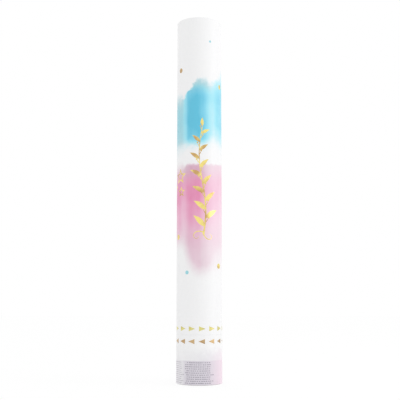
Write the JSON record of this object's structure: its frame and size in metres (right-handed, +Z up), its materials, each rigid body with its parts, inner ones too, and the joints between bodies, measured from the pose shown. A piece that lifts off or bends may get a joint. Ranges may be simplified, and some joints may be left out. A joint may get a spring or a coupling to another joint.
{
  "type": "confetti popper",
  "caption": "Straight round card popper that stands on its foot: a printed barrel over a short twist handle. Turning the handle frees compressed air that blows paper confetti out of the muzzle.",
  "frame": {"origin": "centre of the foot that it stands on", "axes": "+Z up along the barrel to the muzzle, -Y is the front where the arrows begin, +X to its right"},
  "size_m": [0.0494, 0.0494, 0.4],
  "materials": {
    "card": "wound card, cut edges show the plies",
    "printed_paper": "white coated paper with watercolour washes and gold foil print",
    "cap_plastic": "white moulded plastic, fine satin",
    "core_plastic": "natural moulded plastic, satin",
    "rotor_plastic": "moulded plastic, satin",
    "plunger_plastic": "moulded acetal, smooth",
    "fibre": "vulcanised fibre",
    "steel": "bright spring steel",
    "bottle_aluminium": "drawn aluminium, bright",
    "nozzle_brass": "turned brass",
    "seal_rubber": "black rubber",
    "greyboard": "grey board",
    "foam": "open foam",
    "tissue": "pale pink tissue",
    "foil_card": "foil-faced card"
  },
  "bodies": {
    "barrel": {"barrel_tube": "card", "barrel_wrap": "printed_paper", "twist_core": "core_plastic", "thrust_washer": "fibre", "retaining_clip": "steel", "spring_plug": "core_plastic", "air_bottle": "bottle_aluminium", "bottle_nozzle": "nozzle_brass", "bottle_spacer": "core_plastic"},
    "handle": {"handle_sleeve": "card", "handle_wrap": "printed_paper", "cam_rotor": "rotor_plastic", "base_cap": "cap_plastic"},
    "valve": {"plunger": "plunger_plastic", "plunger_seal": "seal_rubber", "cross_pin": "steel", "plunger_spring": "steel"},
    "charge": {"pusher_disc": "greyboard", "pusher_foam": "foam", "confetti": "tissue", "muzzle_lid": "foil_card"}
  },
  "joints": [
    {"name": "handle_twist", "type": "hinge", "parent": "barrel", "child": "handle", "pos_m": [0, 0, 0.0259], "axis": [0, 0, -1], "range_deg": [0, 90]},
    {"name": "plunger_drop", "type": "slide", "parent": "barrel", "child": "valve", "axis": [0, 0, -1], "range_m": [0, 0.01], "deforming": ["plunger_spring"]},
    {"name": "charge_shot", "type": "slide", "parent": "barrel", "child": "charge", "axis": [0, 0, 1], "range_m": [0, 0.195]}
  ],
  "couplings": [
    {"joint": "plunger_drop", "follows": "handle_twist", "m_per_rad": 0.006366}
  ]
}
